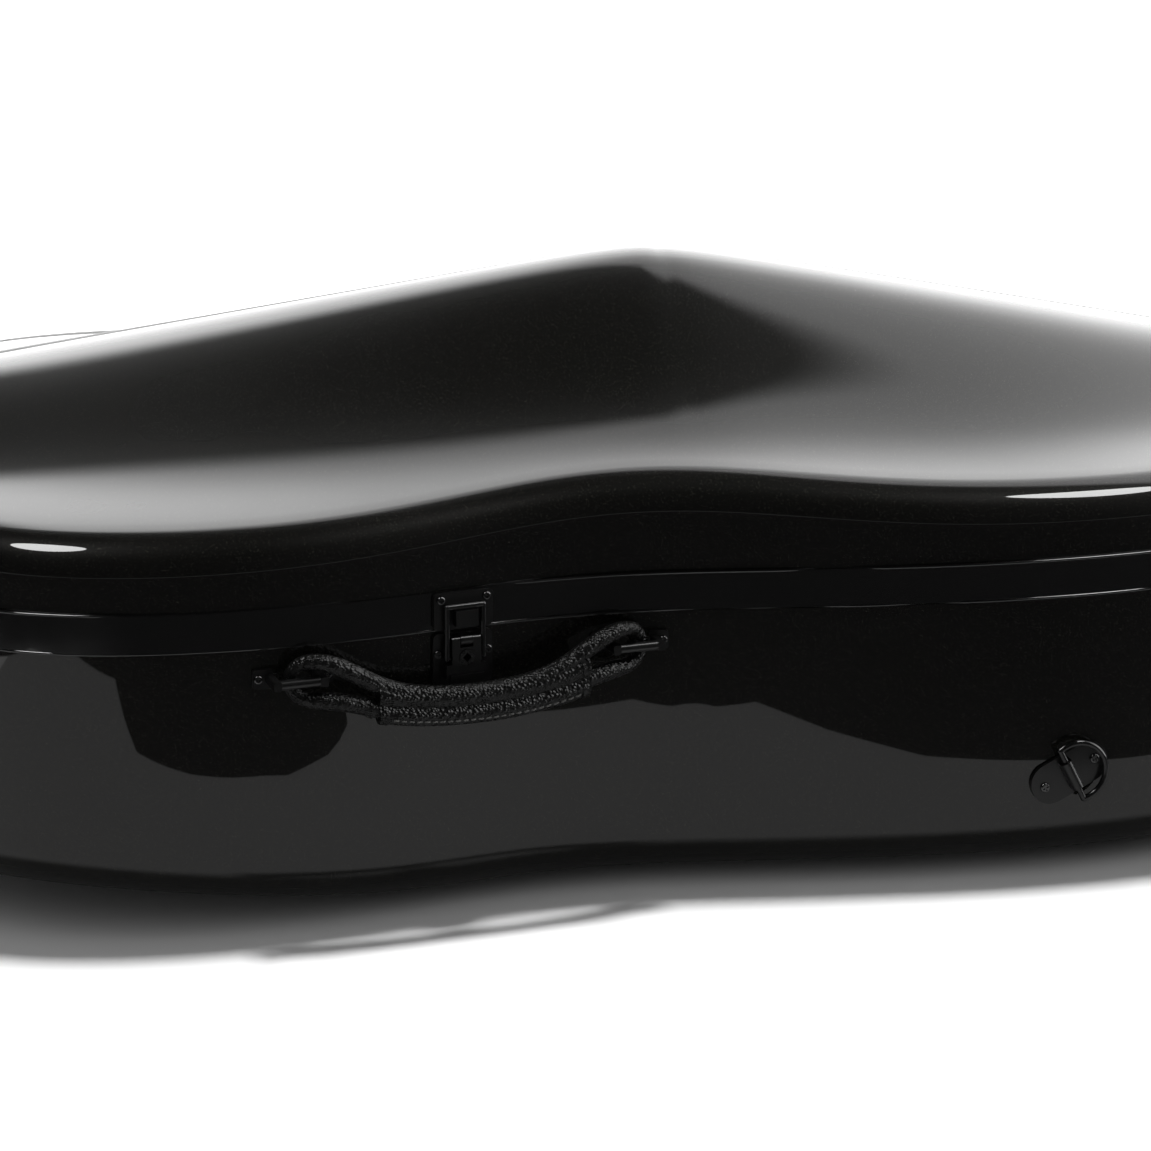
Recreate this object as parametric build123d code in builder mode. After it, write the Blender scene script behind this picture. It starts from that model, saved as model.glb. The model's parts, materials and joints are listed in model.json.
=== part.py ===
"""Cello case lying on its back: two hinged shells, latches, carry handle, rings and fitted interior."""
import math
import os

from build123d import *

os.makedirs("parts", exist_ok=True)

# Driving dimensions, in millimetres
parting = 150.0
foot_height = 5.0
wall = 3.6
lining = 2.4
lid_corner = 22.0
body_corner = 24.0
band_height = 20.0
band_proud = 1.5
band_inset = 3.0
rim_gap = 0.4
tongue_gap = 0.9
tongue_rise = 10.0
tongue_drop = 16.0
seal_height = 2.4
bottom_end = -670.0
head_end = 670.0
bridge_x = -211.0
waist_x = -235.0
ridge_height = 151.0
ridge_slope_low = 0.163
ridge_slope_high = 0.186
ridge_softness = 28.0
neck_height = 76.0
rim_height = 58.0
rim_bulge = 13.0
rim_bulge_width = 120.0
body_depth = parting - foot_height
hinge_turn = 6.07
hinge_standoff = 12.0
hinge_width = 56.0
pin_radius = 2.5
running_fit = 0.05
barrel_radius = 5.0
plate = 2.0
latch_width = 32.0
latch_base_height = 27.5
lever_width = 22.0
lever_neck = 15.6
lever_pivot_y = -5.0
lever_end_y = -25.0
bail_pivot_y = -14.0
lever_depth = 5.0
lever_thickness = 4.8
bail_wire = 1.5
screw_radius = 3.2
handle_z = -15.0
handle_left_x = -421.0
handle_right_x = -248.0
handle_depth = 17.0
handle_tube = 4.7
bar_depth = 13.5
bar_radius = 2.5
bracket_span = 31.0
dring_x = -18.0
dring_low_x = 420.0
dring_drop = -95.0
dring_tilt = 27.0
dring_wire = 1.6
dring_half = 15.0
dring_reach = 19.0
pad_gap = 1.8
near_latch_x = -335.0
neck_latch_x = 300.0
hinge_places = {"low": -437.0, "high": -47.0}

# Half widths of the case at places along its length
outline_points = [
    (-667, 45), (-650, 110), (-610, 185), (-560, 226), (-460, 242), (-385, 229),
    (-335, 214), (-285, 201), (-235, 196), (-185, 198), (-85, 201), (15, 190),
    (90, 165), (160, 133), (240, 109), (340, 97), (480, 91), (590, 82), (645, 60), (667, 30),
]

# Hinge line, tangent to both bouts on the far side
hinge_origin = Vector(-272.5, 222.0 + hinge_standoff, parting)


def save(part, label):
    part.label = label
    export_step(part, f"parts/{label}.step")


def ridge(x):
    away = x - bridge_x
    slope = ridge_slope_low if away < 0 else ridge_slope_high
    peak = ridge_height - slope * math.hypot(away, ridge_softness)
    return max(peak, neck_height)


def rim(x):
    return rim_height + rim_bulge * math.exp(-((x - waist_x) / rim_bulge_width) ** 2)


def body_edge(x):
    rise = min(max((-330 - x) / 250, 0), 1)
    return body_depth - 2 - 18 * rise * rise * (3 - 2 * rise)


def end_drop(x, radius):
    reach = min(x - bottom_end, head_end - x)
    if reach >= radius:
        return 0
    return radius - math.sqrt(radius ** 2 - (radius - reach) ** 2)


def turned(frame, angle):
    """The same frame turned in its own plane."""
    c = math.cos(math.radians(angle))
    s = math.sin(math.radians(angle))
    return Plane(frame.origin, x_dir=frame.x_dir * c + frame.y_dir * s, z_dir=frame.z_dir)


def hull(inset, side, base=-30):
    """Solid of one half of the case, side +1 for the lid and -1 for the body, grown inward by inset.

    It starts at base, measured from the parting towards its own side."""
    corner_full = (lid_corner if side > 0 else body_corner) - inset
    shrink = (head_end - inset) / head_end
    with BuildPart() as solid:
        for x, half in outline_points:
            w = half - inset
            r = min(corner_full, 0.55 * w)
            crown = ridge(x) if side > 0 else body_depth
            edge = (rim(x) if side > 0 else body_edge(x)) - inset - end_drop(x, corner_full)
            crown = max(crown - inset - end_drop(x, corner_full), edge + 1)
            d = crown - edge
            lean = 0.15 if side > 0 else 0.02
            start = (w, side * (edge - r))
            shoulder = (w - r, side * edge)
            far_shoulder = (-w + r, side * edge)
            finish = (-w, side * (edge - r))
            inner = (0.62 * w, side * (edge + 0.2 * d))
            upper = (0.3 * w, side * (edge + 0.7 * d))
            with BuildSketch(Plane((x * shrink, 0, parting), x_dir=(0, 1, 0), z_dir=(1, 0, 0))):
                with BuildLine():
                    Spline(start, shoulder, tangents=[(0, side), (-1, side * lean)])
                    Spline(
                        shoulder, inner, upper, (0, side * crown),
                        (-upper[0], upper[1]), (-inner[0], inner[1]), far_shoulder,
                        tangents=[(-1, side * lean), (-1, -side * lean)],
                    )
                    Spline(far_shoulder, finish, tangents=[(-1, -side * lean), (0, -side)])
                    Polyline(finish, (-w, side * base), (w, side * base), start)
                make_face()
        loft()
    return solid.part


def near_curve():
    points = [(bottom_end, 0)] + [(x, -w) for x, w in outline_points] + [(head_end, 0)]
    return Edge.make_spline([Vector(x, y, 0) for x, y in points], tangents=[Vector(0, -1, 0), Vector(0, 1, 0)])


near_edge = near_curve()


def wall_plane(x, side=-1):
    """Plane on the outer wall at the parting level: x along the wall, y up, z outward."""
    low, high = 0.0, 1.0
    for _ in range(40):
        middle = (low + high) / 2
        if near_edge.position_at(middle).X < x:
            low = middle
        else:
            high = middle
    return plane_at(low, side)


def plane_at(place, side=-1):
    point = near_edge.position_at(place)
    along = near_edge.tangent_at(place)
    outward = Vector(along.Y, -along.X, 0)
    if side > 0:
        return Plane((point.X, -point.Y, parting), x_dir=(-along.X, along.Y, 0), z_dir=(outward.X, -outward.Y, 0))
    return Plane((point.X, point.Y, parting), x_dir=(along.X, along.Y, 0), z_dir=(outward.X, outward.Y, 0))


def block(frame, place, size, radius=0.0):
    """Box in a wall frame, from its centre along the wall, centre height and lowest depth."""
    with BuildPart() as solid:
        with BuildSketch(frame.offset(place[2])):
            with Locations((place[0], place[1])):
                if radius:
                    RectangleRounded(size[0], size[1], radius)
                else:
                    Rectangle(size[0], size[1])
        extrude(amount=size[2])
    return solid.part


def rod(frame, start, end, radius):
    """Round bar between two points of a wall frame."""
    a = frame.from_local_coords(Vector(*start))
    b = frame.from_local_coords(Vector(*end))
    with BuildPart() as solid:
        with BuildSketch(Plane(a, z_dir=b - a)):
            Circle(radius)
        extrude(amount=(b - a).length)
    return solid.part


def screw(frame, x, y, depth, radius=screw_radius):
    """Domed screw head with a cross recess, standing on the given depth."""
    with BuildPart() as solid:
        with BuildSketch(frame.offset(depth)):
            with Locations((x, y)):
                Circle(radius)
        extrude(amount=1.4)
        fillet(solid.faces().sort_by(Axis(frame.origin, frame.z_dir))[-1].edges(), 0.9)
        with BuildSketch(frame.offset(depth + 0.7)):
            with Locations((x, y)):
                Rectangle(radius * 1.2, 0.7)
                Rectangle(0.7, radius * 1.2)
        extrude(amount=2, mode=Mode.SUBTRACT)
    return solid.part


def joined(pieces):
    with BuildPart() as solid:
        for piece in pieces:
            add(piece)
    return solid.part


def minus(piece, cutter):
    with BuildPart() as solid:
        add(piece)
        add(cutter, mode=Mode.SUBTRACT)
    return solid.part


def trimmed(piece, low, high):
    with BuildPart() as solid:
        add(piece)
        with Locations((0, 0, low)):
            Box(1500, 700, high - low, align=(Align.CENTER, Align.CENTER, Align.MIN), mode=Mode.INTERSECT)
    return solid.part


def ring(outer, inner, low, high):
    """Ring that follows the outline, between two offsets from it and two heights over the parting."""
    return trimmed(minus(hull(-outer, 1), hull(-inner, 1)), parting + low, parting + high)


# Shells and their linings
lid_outer = hull(0, 1)
body_outer = hull(0, -1)
lining_start = band_height + 1
lining_end = tongue_drop + 1
save(minus(hull(0, 1, band_height), hull(wall, 1)), "lid_shell")
save(minus(hull(0, -1, rim_gap), hull(wall, -1)), "body_shell")
save(minus(hull(wall, 1, lining_start), hull(wall + lining, 1)), "lid_lining")
save(minus(hull(wall, -1, lining_end), hull(wall + lining, -1)), "body_lining")

# Rim parts: the lid's band, the body's tongue and its seal
tongue_out = -(band_inset + tongue_gap)
lid_band = ring(band_proud, -band_inset, rim_gap, band_height)
save(lid_band, "lid_band")
save(ring(tongue_out, tongue_out - 3, -tongue_drop, tongue_rise), "body_tongue")
save(ring(tongue_out - 0.4, tongue_out - 2.6, tongue_rise, tongue_rise + seal_height), "rim_seal")


# Hinges on the far side, both on one slanted line
hinge_along = Vector(-math.cos(math.radians(hinge_turn)), math.sin(math.radians(hinge_turn)), 0)
hinge_out = Vector(math.sin(math.radians(hinge_turn)), math.cos(math.radians(hinge_turn)), 0)


def hinge_frame(x):
    reach = (x - hinge_origin.X) / hinge_along.X
    return Plane(hinge_origin + hinge_along * reach, x_dir=hinge_along, z_dir=hinge_out)


def knuckle(frame, low, high, side):
    web_height = barrel_radius - 1
    web = block(frame, ((low + high) / 2, side * (1 + web_height / 2), -6.5), (high - low, web_height, 6.5))
    tube = rod(frame, (low, 0, 0), (high, 0, 0), barrel_radius)
    bore = rod(frame, (low - 1, 0, 0), (high + 1, 0, 0), pin_radius + running_fit)
    return minus(joined([web, tube]), bore)


def hinge(name, x):
    frame = hinge_frame(x)
    third = hinge_width / 6
    gap = 0.3
    lid_plate = block(frame, (0, 9.7, -16), (hinge_width, 17, 10.2), 2)
    lid_plate = minus(minus(lid_plate, lid_band), lid_outer)
    body_plate = minus(block(frame, (0, -15.5, -16), (hinge_width, 29, 10.2), 2), body_outer)
    outer_low = knuckle(frame, -3 * third, -third - gap, -1)
    outer_high = knuckle(frame, third + gap, 3 * third, -1)
    save(joined([lid_plate, knuckle(frame, -third, third, 1)]), f"hinge_{name}_lid_leaf")
    save(joined([body_plate, outer_low, outer_high]), f"hinge_{name}_body_leaf")
    save(rod(frame, (-3 * third - 1.5, 0, 0), (3 * third + 1.5, 0, 0), pin_radius), f"hinge_{name}_pin")
    lid_screws = [screw(frame, side * 2 * third, 13, -5.8) for side in (-1, 1)]
    body_screws = [screw(frame, side * 2 * third, -22, -5.8) for side in (-1, 1)]
    return lid_screws, body_screws


lid_hinge_screws = []
body_hinge_screws = []
for hinge_name, hinge_x in hinge_places.items():
    lid_set, body_set = hinge(hinge_name, hinge_x)
    lid_hinge_screws += lid_set
    body_hinge_screws += body_set
save(Compound(children=lid_hinge_screws), "hinge_lid_screws")
save(Compound(children=body_hinge_screws), "hinge_body_screws")

# Draw latches: keeper on the band, base plate, lever and wire bail below it
keeper_top = 3.5
bail_x = lever_neck / 2 + 0.4 + bail_wire
bail_top_y = 11 + bail_wire + 0.1
bail_depth = keeper_top + 0.5 + bail_wire


def latch_keeper(frame):
    face = block(frame, (0, rim_gap + 9.7, 0.2), (latch_width, 19.2, keeper_top - 0.2), 3)
    hook = block(frame, (0, 7, keeper_top - 0.5), (12, 8, 5.5))
    return minus(joined([face, hook]), lid_band)


def latch_base(frame):
    centre = -(1.5 + latch_base_height / 2)
    face = minus(block(frame, (0, centre, -5), (latch_width, latch_base_height, 5 + plate), 3), body_outer)
    tube = rod(frame, (-3.2, lever_pivot_y, lever_depth), (3.2, lever_pivot_y, lever_depth), 2.8)
    web = block(frame, (0, lever_pivot_y, plate - 0.5), (6.4, 5, lever_depth - plate))
    pin = rod(frame, (-7.5, lever_pivot_y, lever_depth), (7.5, lever_pivot_y, lever_depth), 1.2)
    return joined([face, web, tube, pin])


def latch_lever(frame, locked):
    low = lever_depth - lever_thickness / 2
    neck_top = lever_pivot_y - 3.3
    neck = block(frame, (0, (neck_top + lever_end_y) / 2, low), (lever_neck, neck_top - lever_end_y, lever_thickness))
    end = block(frame, (0, lever_end_y + 4, low), (lever_width, 8, lever_thickness), 1.5)
    tab = block(frame, (0, lever_end_y + 1.8, low + 3), (lever_width - 4, 2.4, lever_thickness - 1.5))
    pieces = [neck, end, tab]
    for side in (-1, 1):
        arm = block(frame, (side * 5.65, (lever_pivot_y + neck_top) / 2 - 1, low), (4.3, 5.3, lever_thickness))
        tube = rod(frame, (side * 3.5, lever_pivot_y, lever_depth), (side * 7.8, lever_pivot_y, lever_depth), 2.4)
        pieces += [arm, tube]
    whole = minus(joined(pieces), rod(frame, (-9, lever_pivot_y, lever_depth), (9, lever_pivot_y, lever_depth), 1.25))
    for side in (-1, 1):
        seat = rod(frame, (side * 6.3, bail_pivot_y, lever_depth), (side * 9, bail_pivot_y, lever_depth), 1.25)
        whole = minus(whole, seat)
    if locked:
        whole = minus(whole, rod(frame, (0, -13.5, low - 1), (0, -13.5, low + 9), 4.05))
    return whole


def latch_bail(frame):
    corners = [(6.6, bail_pivot_y, lever_depth), (bail_x, bail_pivot_y, lever_depth), (bail_x, bail_top_y, bail_depth)]
    pieces = []
    for side in (-1, 1):
        pivot, knee, top = [(side * x, y, z) for x, y, z in corners]
        pieces.append(rod(frame, pivot, knee, 1.2))
        pieces.append(rod(frame, knee, top, bail_wire))
        with BuildPart() as ball:
            with Locations(frame.from_local_coords(Vector(*knee)), frame.from_local_coords(Vector(*top))):
                Sphere(bail_wire + 0.02)
        pieces.append(ball.part)
    pieces.append(rod(frame, (-bail_x, bail_top_y, bail_depth), (bail_x, bail_top_y, bail_depth), bail_wire))
    return joined(pieces)


def lock_barrel(frame):
    low = lever_depth - lever_thickness / 2
    barrel = rod(frame, (0, -13.5, low), (0, -13.5, low + lever_thickness + 0.6), 4)
    slot = block(turned(frame, 45), (-9.546, -9.546, low + 1), (3.4, 3.4, 8))
    return minus(barrel, slot)


latch_frames = {
    "bottom": plane_at(0.0),
    "lock": wall_plane(near_latch_x),
    "neck": wall_plane(neck_latch_x),
    "head": plane_at(1.0),
}
lid_latch_screws = []
body_latch_screws = []
for latch_name, latch_frame in latch_frames.items():
    save(latch_keeper(latch_frame), f"latch_{latch_name}_keeper")
    save(latch_base(latch_frame), f"latch_{latch_name}_base")
    save(latch_lever(latch_frame, latch_name == "lock"), f"latch_{latch_name}_lever")
    save(latch_bail(latch_frame), f"latch_{latch_name}_bail")
    for screw_side in (-1, 1):
        lid_latch_screws.append(screw(latch_frame, screw_side * 12.3, 16.2, keeper_top, 2.2))
        body_latch_screws.append(screw(latch_frame, screw_side * 13.4, -12, plate, 2.2))
save(lock_barrel(latch_frames["lock"]), "latch_lock_barrel")
save(Compound(children=lid_latch_screws), "latch_keeper_screws")
save(Compound(children=body_latch_screws), "latch_base_screws")

# Carry handle: a rolled leather loop behind two bridges, in a frame along the line between them
left_wall = wall_plane(handle_left_x).origin
right_wall = wall_plane(handle_right_x).origin
handle_along = (right_wall - left_wall).normalized()
handle_half = (right_wall - left_wall).length / 2
handle_frame = Plane((left_wall + right_wall) * 0.5, x_dir=handle_along, z_dir=Vector(handle_along.Y, -handle_along.X, 0))


def foot_frame(place):
    return wall_plane(handle_frame.from_local_coords(Vector(place, 0, 0)).X)


def handle_bracket(side):
    centre = side * handle_half
    foot_reach = bracket_span / 2
    bar_start = (centre - foot_reach + 2, handle_z, bar_depth)
    bar_finish = (centre + foot_reach - 2, handle_z, bar_depth)
    pieces = [rod(handle_frame, bar_start, bar_finish, bar_radius)]
    for end in (-1, 1):
        place = centre + end * foot_reach
        pieces.append(block(foot_frame(place), (0, handle_z, -3), (10, 10, 3 + plate), 1.5))
        pieces.append(block(handle_frame, (place - end * 3.5, handle_z, -8), (4, 5, 8 + bar_depth + bar_radius), 1))
    return minus(joined(pieces), body_outer)


def handle_strand(side):
    """One strand of the loop, side +1 the upper one, from one eye to the other."""
    mid = handle_z - 19
    right = [
        (handle_half + 4, handle_z, 6.2),
        (handle_half + 2, handle_z + side * 5, 7.6),
        (handle_half - 5, handle_z + side * 8.2, 11),
        (handle_half - 15, handle_z + side * 8.5 - 0.5, 13.5),
        (handle_half - 30, handle_z - 6.5 + side * 7.4, 14.5),
        (handle_half - 50, mid + 3 + side * 5, 16),
    ]
    points = right + [(0, mid + side * 4.9, handle_depth)] + [(-x, y, z) for x, y, z in right[::-1]]
    path = Edge.make_spline([handle_frame.from_local_coords(Vector(*p)) for p in points])
    with BuildPart() as strand:
        with BuildSketch(Plane(path.position_at(0), z_dir=path.tangent_at(0))):
            Circle(handle_tube)
        sweep(path=path)
    return strand.part


save(handle_bracket(-1), "handle_low_bracket")
save(handle_bracket(1), "handle_high_bracket")
save(Compound(children=[handle_strand(1), handle_strand(-1)]), "carry_handle")
handle_screws = []
for bracket_side in (-1, 1):
    for foot_side in (-1, 1):
        foot_place = bracket_side * handle_half + foot_side * (bracket_span / 2)
        handle_screws.append(screw(foot_frame(foot_place), foot_side * 2.3, handle_z, plate, 2.2))
save(Compound(children=handle_screws), "handle_screws")

# Rings for the carrying straps
ring_depth = 5.4


def dring_frame(x):
    frame = wall_plane(x)
    centre = frame.from_local_coords(Vector(0, dring_drop, 0))
    return turned(Plane(centre, x_dir=frame.x_dir, z_dir=frame.z_dir), dring_tilt)


def dring_plate(frame):
    face = minus(block(frame, (0, 0, -6), (44, 22, 6 + plate), 10.9), body_outer)
    fold = block(frame, (0, 0, plate - 0.5), (6.2, 16, ring_depth - plate + 0.5))
    tube = rod(frame, (0, -8, ring_depth), (0, 8, ring_depth), 3.1)
    bore = rod(frame, (0, -9, ring_depth), (0, 9, ring_depth), dring_wire + running_fit)
    return minus(joined([face, fold, tube]), bore)


def dring(frame):
    with BuildPart() as bow:
        with BuildLine(frame.offset(ring_depth)) as line:
            ThreePointArc((0, dring_half), (dring_reach, 0), (0, -dring_half))
        with BuildSketch(Plane(line.line @ 0, z_dir=line.line % 0)):
            Circle(dring_wire)
        sweep(path=line.line)
        with Locations(line.line @ 0, line.line @ 1):
            Sphere(dring_wire + 0.02)
    bar = rod(frame, (0, -dring_half, ring_depth), (0, dring_half, ring_depth), dring_wire)
    return joined([bow.part, bar])


dring_frames = {"high": dring_frame(dring_x), "low": dring_frame(dring_low_x)}
dring_screws = []
for dring_name, frame_of_ring in dring_frames.items():
    save(dring_plate(frame_of_ring), f"dring_{dring_name}_plate")
    save(dring(frame_of_ring), f"dring_{dring_name}_ring")
    dring_screws += [screw(frame_of_ring, screw_side * 15, 0, plate, 2.6) for screw_side in (-1, 1)]
save(Compound(children=dring_screws), "dring_screws")

# Rubber feet under the back
feet = []
for foot_x, foot_y in ((-500, 120), (-500, -120), (0, 0), (420, 50), (420, -50)):
    with BuildPart() as foot:
        with Locations((foot_x, foot_y, 0)):
            Cylinder(14, foot_height + 4, align=(Align.CENTER, Align.CENTER, Align.MIN))
        fillet(foot.faces().sort_by(Axis.Z)[0].edges(), 2)
        add(body_outer, mode=Mode.SUBTRACT)
    feet.append(foot.part)
save(Compound(children=feet), "back_feet")

# Fitted interior: everything is cut to the space inside the linings
body_space = hull(wall + lining + pad_gap, -1)
lid_space = hull(wall + lining + pad_gap, 1)


def middle(low, high):
    return Vector(*(low[i] / 2 + high[i] / 2 for i in range(3)))


def span(low, high):
    return tuple(high[i] - low[i] for i in range(3))


def fitted(space, low, high, radius=0.0):
    with BuildPart() as solid:
        with Locations(middle(low, high)):
            Box(*span(low, high))
        if radius:
            fillet(solid.edges().filter_by(Axis.Z), radius)
        add(space, mode=Mode.INTERSECT)
    return solid.part


pad_top = parting - 32
save(fitted(body_space, (-690, -100, 0), (-622, 100, pad_top), 6), "end_pad")
for pad_name, pad_x, pad_y, pad_length in (("low", -455, 208, 110), ("high", -80, 168, 100)):
    for side_name, side in (("near", -1), ("far", 1)):
        edges = sorted((side * pad_y, side * 260))
        low_corner = (pad_x - pad_length / 2, edges[0], 0)
        save(fitted(body_space, low_corner, (pad_x + pad_length / 2, edges[1], pad_top), 6), f"pad_{pad_name}_{side_name}")
save(fitted(body_space, (618, -100, 0), (690, 100, pad_top), 6), "scroll_pad")
neck_rest = fitted(body_space, (380, -100, 0), (440, 100, pad_top), 6)
neck_axis = Plane((0, 0, pad_top), x_dir=(0, 1, 0), z_dir=(1, 0, 0))
save(minus(neck_rest, rod(neck_axis, (0, 0, 370), (0, 0, 450), 30)), "neck_cradle")
with BuildPart() as strap:
    with BuildSketch(neck_axis.offset(392)):
        with BuildLine():
            ThreePointArc((-62, 0.6), (0, 13), (62, 0.6))
            Line((62, 0.6), (62, 3.1))
            ThreePointArc((62, 3.1), (0, 15.5), (-62, 3.1))
            Line((-62, 3.1), (-62, 0.6))
        make_face()
    extrude(amount=36)
save(strap.part, "neck_strap")
save(fitted(lid_space, (-585, -45, parting + 62), (-515, 45, 400), 4), "bow_pocket")
clip_under = parting + 72
save(fitted(lid_space, (60, -55, clip_under), (84, 55, 400), 3), "bow_clip_base")
for clip_name, clip_y in (("near", -30), ("far", 30)):
    clip_frame = Plane((72, clip_y, clip_under - 0.2), x_dir=(1, 0, 0), z_dir=(0, 0, -1))
    stalk = rod(clip_frame, (0, 0, 0), (0, 0, 14), 4)
    save(joined([stalk, block(clip_frame, (9, 0, 12), (34, 12, 4), 5.9)]), f"bow_clip_{clip_name}")
box_low = (175, 34, 40)
box_high = (335, 82, 104)
box_wall = 3
with BuildPart() as accessory:
    with Locations(middle(box_low, box_high)):
        Box(*span(box_low, box_high))
    offset(amount=-box_wall, openings=accessory.faces().sort_by(Axis.Z)[-1])
save(accessory.part, "accessory_box")
with BuildPart() as box_lid:
    with Locations(((box_low[0] + box_high[0]) / 2, (box_low[1] + box_high[1]) / 2, box_high[2] + 2)):
        Box(box_high[0] - box_low[0], box_high[1] - box_low[1], 3)
    fillet(box_lid.edges().filter_by(Axis.Z), 4)
save(box_lid.part, "accessory_lid")
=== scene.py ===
# %% [markdown]
# # Cello case
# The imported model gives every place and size, so this script only dresses it. It adds a paint with fine
# flakes, black fittings, a rolled leather handle, plush inside, and a pale studio. Each step has a few
# words first on what the real piece is like and on why it is made this way.

# %% Load the frame
import json
import math
import bpy
import numpy as np
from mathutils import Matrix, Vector


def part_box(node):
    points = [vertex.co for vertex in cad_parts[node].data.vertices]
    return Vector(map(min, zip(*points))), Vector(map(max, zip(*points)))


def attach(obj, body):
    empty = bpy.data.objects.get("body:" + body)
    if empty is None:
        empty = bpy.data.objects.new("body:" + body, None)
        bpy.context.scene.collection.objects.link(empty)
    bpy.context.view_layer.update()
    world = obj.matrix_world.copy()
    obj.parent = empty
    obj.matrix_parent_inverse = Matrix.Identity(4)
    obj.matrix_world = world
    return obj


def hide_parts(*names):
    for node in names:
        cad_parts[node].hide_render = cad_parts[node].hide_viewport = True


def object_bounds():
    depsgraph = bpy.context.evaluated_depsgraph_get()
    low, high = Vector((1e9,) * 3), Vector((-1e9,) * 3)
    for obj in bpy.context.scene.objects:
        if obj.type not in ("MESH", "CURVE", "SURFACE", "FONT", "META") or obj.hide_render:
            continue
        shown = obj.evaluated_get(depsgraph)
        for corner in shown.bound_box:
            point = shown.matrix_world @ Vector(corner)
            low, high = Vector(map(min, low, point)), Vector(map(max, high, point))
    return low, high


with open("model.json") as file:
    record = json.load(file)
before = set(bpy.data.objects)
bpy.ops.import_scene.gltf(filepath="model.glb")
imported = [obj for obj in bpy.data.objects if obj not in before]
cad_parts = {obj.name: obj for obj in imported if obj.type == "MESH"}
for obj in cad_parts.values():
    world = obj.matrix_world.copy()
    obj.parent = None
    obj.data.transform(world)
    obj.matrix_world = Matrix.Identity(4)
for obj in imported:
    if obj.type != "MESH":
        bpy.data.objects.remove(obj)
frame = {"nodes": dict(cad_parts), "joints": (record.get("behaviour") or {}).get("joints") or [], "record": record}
nodes = frame["nodes"]
cad_low, cad_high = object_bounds()
MM = 0.001
PARTING = 0.150
print("Loaded", len(nodes), "nodes, from", list(cad_low), "to", list(cad_high))

# %% [markdown]
# The camera looks at the case's handle side from a little above. A wide lens close by would also frame
# it, but a long lens from further away keeps the case's edges nearly parallel.

# %% Camera
PHOTO_WIDTH = 1151
FOCAL_PIXELS = 4400
SENSOR_WIDTH = 36.0
CAMERA_PLACE = (-0.535, -2.312, 0.781)
CAMERA_DOWN = 16.0
CAMERA_RIGHT = 7.0
camera_turn = (math.radians(90 - CAMERA_DOWN), 0, math.radians(-CAMERA_RIGHT))
bpy.ops.object.camera_add(location=CAMERA_PLACE, rotation=camera_turn)
camera = bpy.context.object
camera.data.lens = FOCAL_PIXELS / PHOTO_WIDTH * SENSOR_WIDTH
camera.data.sensor_width = SENSOR_WIDTH
camera.data.clip_end = 100
bpy.context.scene.camera = camera
print("Lens", round(camera.data.lens, 1), "mm")

# %% [markdown]
# Every material starts from one helper that sets the plain values on the shader's own sockets. The small
# helpers after it add a node, mix two colours by a mask, or turn a height into a bump. All patterns read
# Object coordinates, so they stay on a piece when it moves.

# %% Material helpers
def material(name, color, roughness, metallic=0.0, coat=0.0, coat_roughness=0.03, sheen=0.0):
    made = bpy.data.materials.new(name)
    made.use_nodes = True
    shader = made.node_tree.nodes["Principled BSDF"]
    shader.inputs["Base Color"].default_value = (*color, 1)
    shader.inputs["Roughness"].default_value = roughness
    shader.inputs["Metallic"].default_value = metallic
    shader.inputs["Coat Weight"].default_value = coat
    shader.inputs["Coat Roughness"].default_value = coat_roughness
    shader.inputs["Sheen Weight"].default_value = sheen
    return made, shader


def node(made, kind, **values):
    new = made.node_tree.nodes.new(kind)
    for key, value in values.items():
        if key in new.inputs:
            new.inputs[key].default_value = value
        else:
            setattr(new, key, value)
    return new


def object_coordinates(made):
    return node(made, "ShaderNodeTexCoord").outputs["Object"]


def two_colors(made, mask, dark, light, socket):
    ramp = node(made, "ShaderNodeMix", data_type="RGBA")
    ramp.inputs[6].default_value = (*dark, 1)
    ramp.inputs[7].default_value = (*light, 1)
    made.node_tree.links.new(mask, ramp.inputs[0])
    made.node_tree.links.new(ramp.outputs[2], socket)


def spread(made, value, low, high, out_low, out_high):
    ranged = node(made, "ShaderNodeMapRange")
    made.node_tree.links.new(value, ranged.inputs["Value"])
    for key, number in (("From Min", low), ("From Max", high), ("To Min", out_low), ("To Max", out_high)):
        ranged.inputs[key].default_value = number
    return ranged.outputs["Result"]


def bumped(made, shader, height, strength, distance):
    bump = node(made, "ShaderNodeBump", Strength=strength, Distance=distance)
    made.node_tree.links.new(height, bump.inputs["Height"])
    made.node_tree.links.new(bump.outputs["Normal"], shader.inputs["Normal"])


def texture(made, kind, scale, detail=None):
    new = node(made, kind, Scale=scale)
    if detail is not None:
        new.inputs["Detail"].default_value = detail
    made.node_tree.links.new(object_coordinates(made), new.inputs["Vector"])
    return new


print("Material helpers are ready")

# %% [markdown]
# The real shell is painted almost black, with flakes under half a millimetre across below a clear coat.
# A fine cell pattern lights a few cells for the flakes, and the coat above stays smooth. The band is the
# same black without flakes.

# %% Paint and gloss black
FLAKE_SCALE = 4200


def flake_paint():
    made, shader = material("flake_paint", (0.006, 0.0058, 0.0042), 0.40, 0.4, 1.0, 0.02)
    shader.inputs["Specular IOR Level"].default_value = 0.12
    flakes = texture(made, "ShaderNodeTexVoronoi", FLAKE_SCALE)
    bright = spread(made, flakes.outputs["Color"], 0.88, 1.0, 0, 1)
    dark, light = (0.0028, 0.0027, 0.002), (0.10, 0.096, 0.074)
    two_colors(made, bright, dark, light, shader.inputs["Base Color"])
    haze = texture(made, "ShaderNodeTexNoise", 9, 3)
    rough = spread(made, haze.outputs["Fac"], 0.3, 0.7, 0.38, 0.46)
    made.node_tree.links.new(rough, shader.inputs["Roughness"])
    return made


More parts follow.
